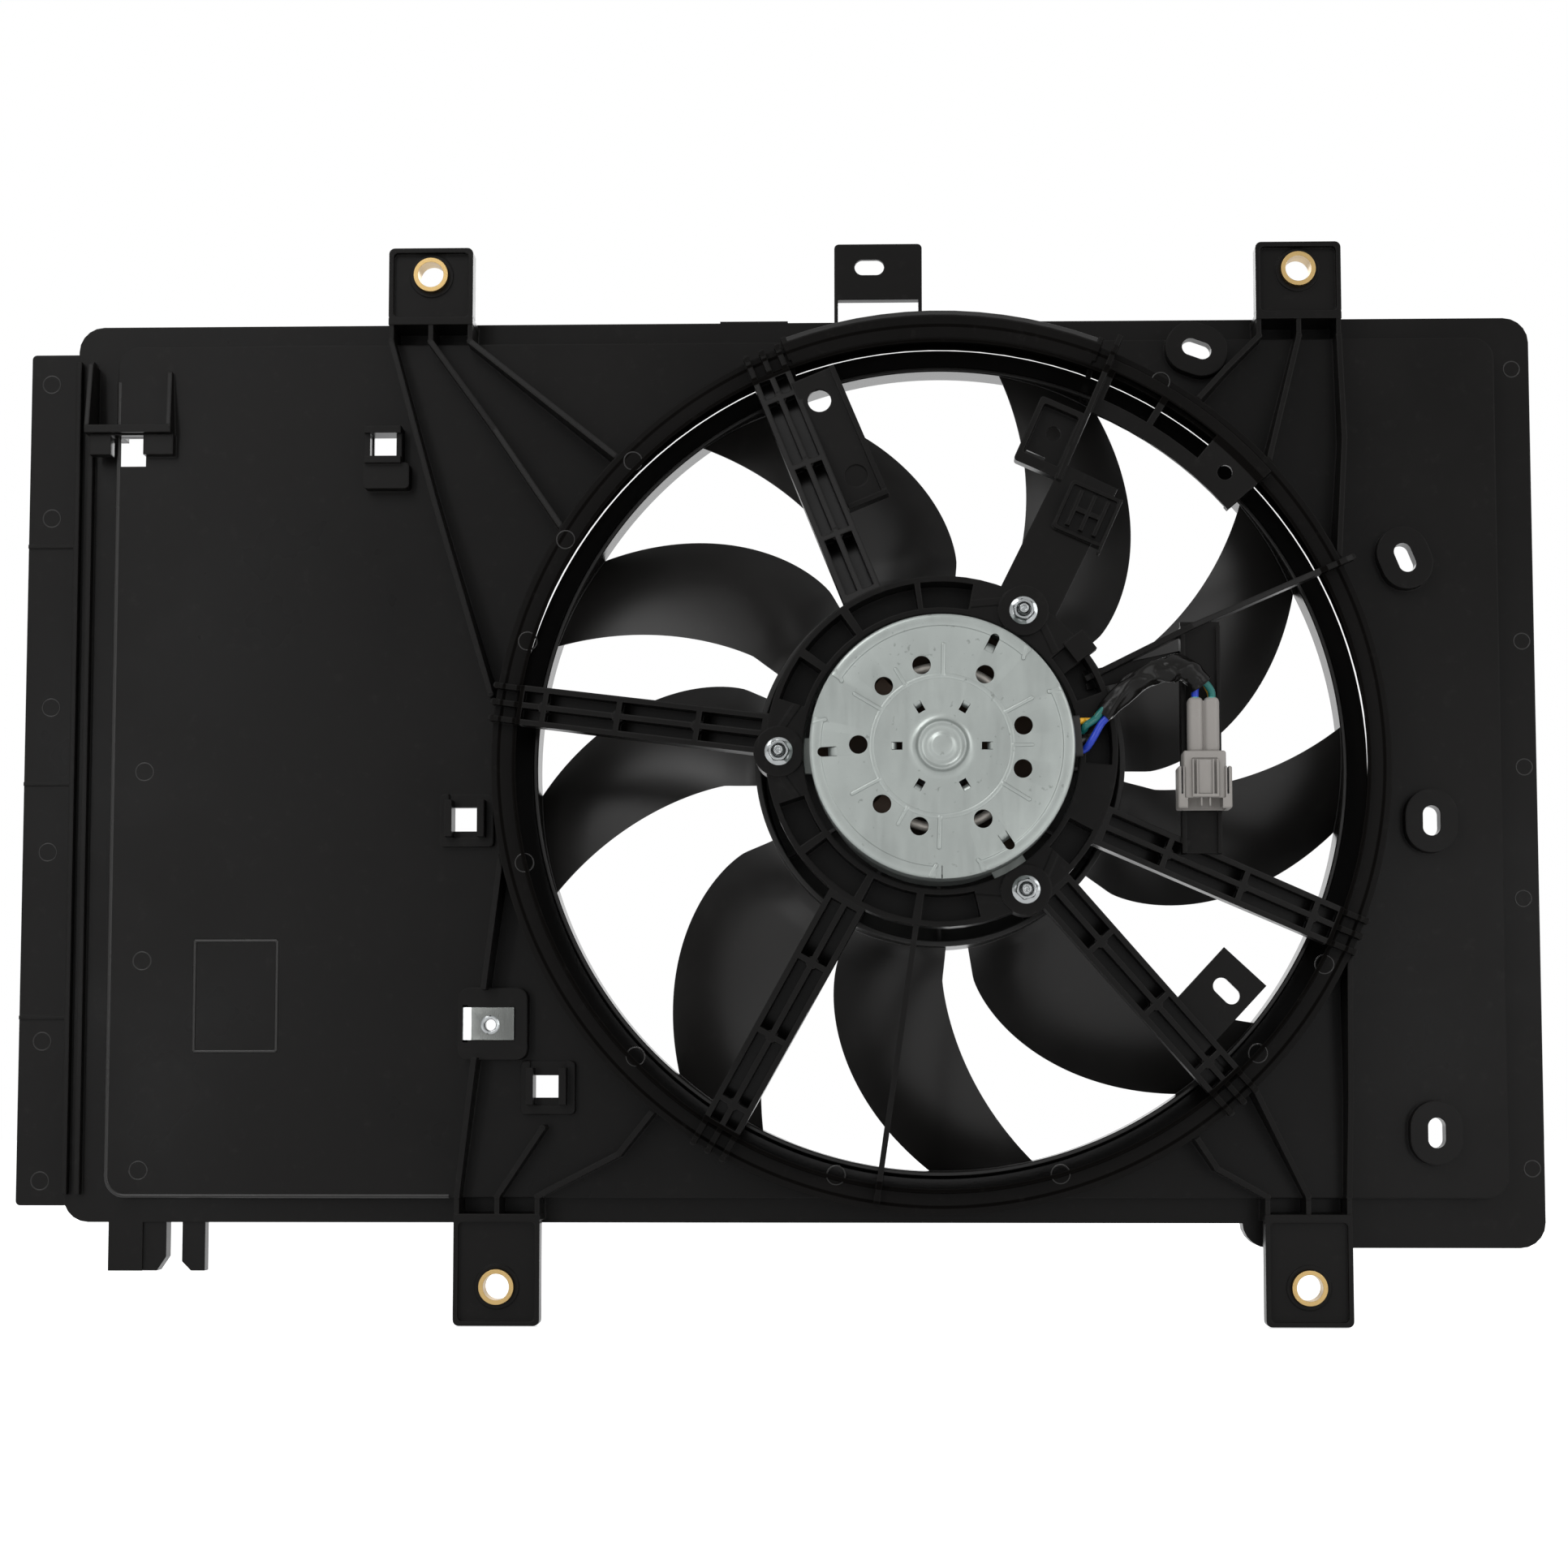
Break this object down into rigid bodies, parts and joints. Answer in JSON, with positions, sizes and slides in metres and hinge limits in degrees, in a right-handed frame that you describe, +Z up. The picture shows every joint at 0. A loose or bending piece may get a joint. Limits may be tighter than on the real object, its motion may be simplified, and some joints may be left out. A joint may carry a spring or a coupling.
{
  "type": "radiator cooling fan",
  "caption": "Radiator cooling fan: black moulded shroud with angled arms, a banded fan in its ring, a sheet-metal motor, brass bushes and a short wired connector.",
  "frame": {"origin": "where the fan's axis crosses the plane of the shroud's radiator-side rim", "axes": "+X to the right seen from the engine side, +Y from the fan towards the radiator along the fan's axis, +Z up"},
  "size_m": [0.664, 0.1182, 0.4733],
  "materials": {
    "shroud_plastic": "satin moulded",
    "fan_plastic": "satin moulded",
    "brass": "turned",
    "zinc_steel": "bright zinc",
    "insert_metal": "satin",
    "shaft_steel": "ground",
    "lamination_steel": "stacked sheet",
    "copper": "enamelled",
    "bearing_steel": "polished",
    "can_steel": "zinc plated",
    "cap_steel": "zinc plated",
    "ferrite": "matt",
    "card_plastic": "matt",
    "carbon": "matt",
    "spring_steel": "bright",
    "grommet_rubber": "matt",
    "insulation_yellow": "satin",
    "insulation_green": "satin",
    "insulation_black": "satin",
    "insulation_blue": "satin",
    "tape": "satin tape",
    "connector_plastic": "satin moulded",
    "retainer_plastic": "satin moulded",
    "tinned_brass": "tinned",
    "seal_rubber": "matt"
  },
  "bodies": {
    "housing": {"shroud": "shroud_plastic", "bush_top_left": "brass", "bush_top_right": "brass", "bush_bottom_left": "brass", "bush_bottom_right": "brass", "clip_nut": "zinc_steel", "front_outer_race": "bearing_steel", "rear_outer_race": "bearing_steel", "motor_can": "can_steel", "motor_end_cap": "cap_steel", "field_magnets": "ferrite", "brush_card": "card_plastic", "brush_spring_1": "spring_steel", "brush_spring_2": "spring_steel", "brush_spring_3": "spring_steel", "brush_spring_4": "spring_steel", "mount_studs": "zinc_steel", "mount_nuts": "zinc_steel", "lead_grommet": "grommet_rubber", "wire_yellow": "insulation_yellow", "wire_green": "insulation_green", "wire_black": "insulation_black", "wire_blue": "insulation_blue", "lead_sleeve": "tape", "connector_housing": "connector_plastic", "connector_retainer": "retainer_plastic", "connector_terminals": "tinned_brass", "connector_seals": "seal_rubber"},
    "rotor": {"fan": "fan_plastic", "hub_insert": "insert_metal", "fan_washer": "zinc_steel", "fan_nut": "zinc_steel", "motor_shaft": "shaft_steel", "rotor_core": "lamination_steel", "armature_winding": "copper", "commutator": "copper", "front_inner_race": "bearing_steel", "rear_inner_race": "bearing_steel"},
    "front_balls": {"front_ball_set": "bearing_steel"},
    "rear_balls": {"rear_ball_set": "bearing_steel"},
    "brush_body_1": {"brush_1": "carbon"},
    "brush_body_2": {"brush_2": "carbon"},
    "brush_body_3": {"brush_3": "carbon"},
    "brush_body_4": {"brush_4": "carbon"}
  },
  "joints": [
    {"name": "fan_spin", "type": "hinge", "parent": "housing", "child": "rotor", "pos_m": [0, 0, 0], "axis": [0, 1, 0], "continuous": true},
    {"name": "front_cage_roll", "type": "hinge", "parent": "housing", "child": "front_balls", "pos_m": [0, -0.0331, 0], "axis": [0, 1, 0], "continuous": true},
    {"name": "rear_cage_roll", "type": "hinge", "parent": "housing", "child": "rear_balls", "pos_m": [0, -0.1102, 0], "axis": [0, 1, 0], "continuous": true},
    {"name": "brush_slide_1", "type": "slide", "parent": "housing", "child": "brush_body_1", "axis": [0.7071, 0, 0.7071], "range_m": [0, 0.003], "stiffness_N_per_m": 80, "springref_m": -0.003, "deforming": ["brush_spring_1"]},
    {"name": "brush_slide_2", "type": "slide", "parent": "housing", "child": "brush_body_2", "axis": [-0.7071, 0, 0.7071], "range_m": [0, 0.003], "stiffness_N_per_m": 80, "springref_m": -0.003, "deforming": ["brush_spring_2"]},
    {"name": "brush_slide_3", "type": "slide", "parent": "housing", "child": "brush_body_3", "axis": [-0.7071, 0, -0.7071], "range_m": [0, 0.003], "stiffness_N_per_m": 80, "springref_m": -0.003, "deforming": ["brush_spring_3"]},
    {"name": "brush_slide_4", "type": "slide", "parent": "housing", "child": "brush_body_4", "axis": [0.7071, 0, -0.7071], "range_m": [0, 0.003], "stiffness_N_per_m": 80, "springref_m": -0.003, "deforming": ["brush_spring_4"]}
  ],
  "couplings": [
    {"joint": "front_cage_roll", "follows": "fan_spin", "ratio": 0.388},
    {"joint": "rear_cage_roll", "follows": "fan_spin", "ratio": 0.388}
  ]
}
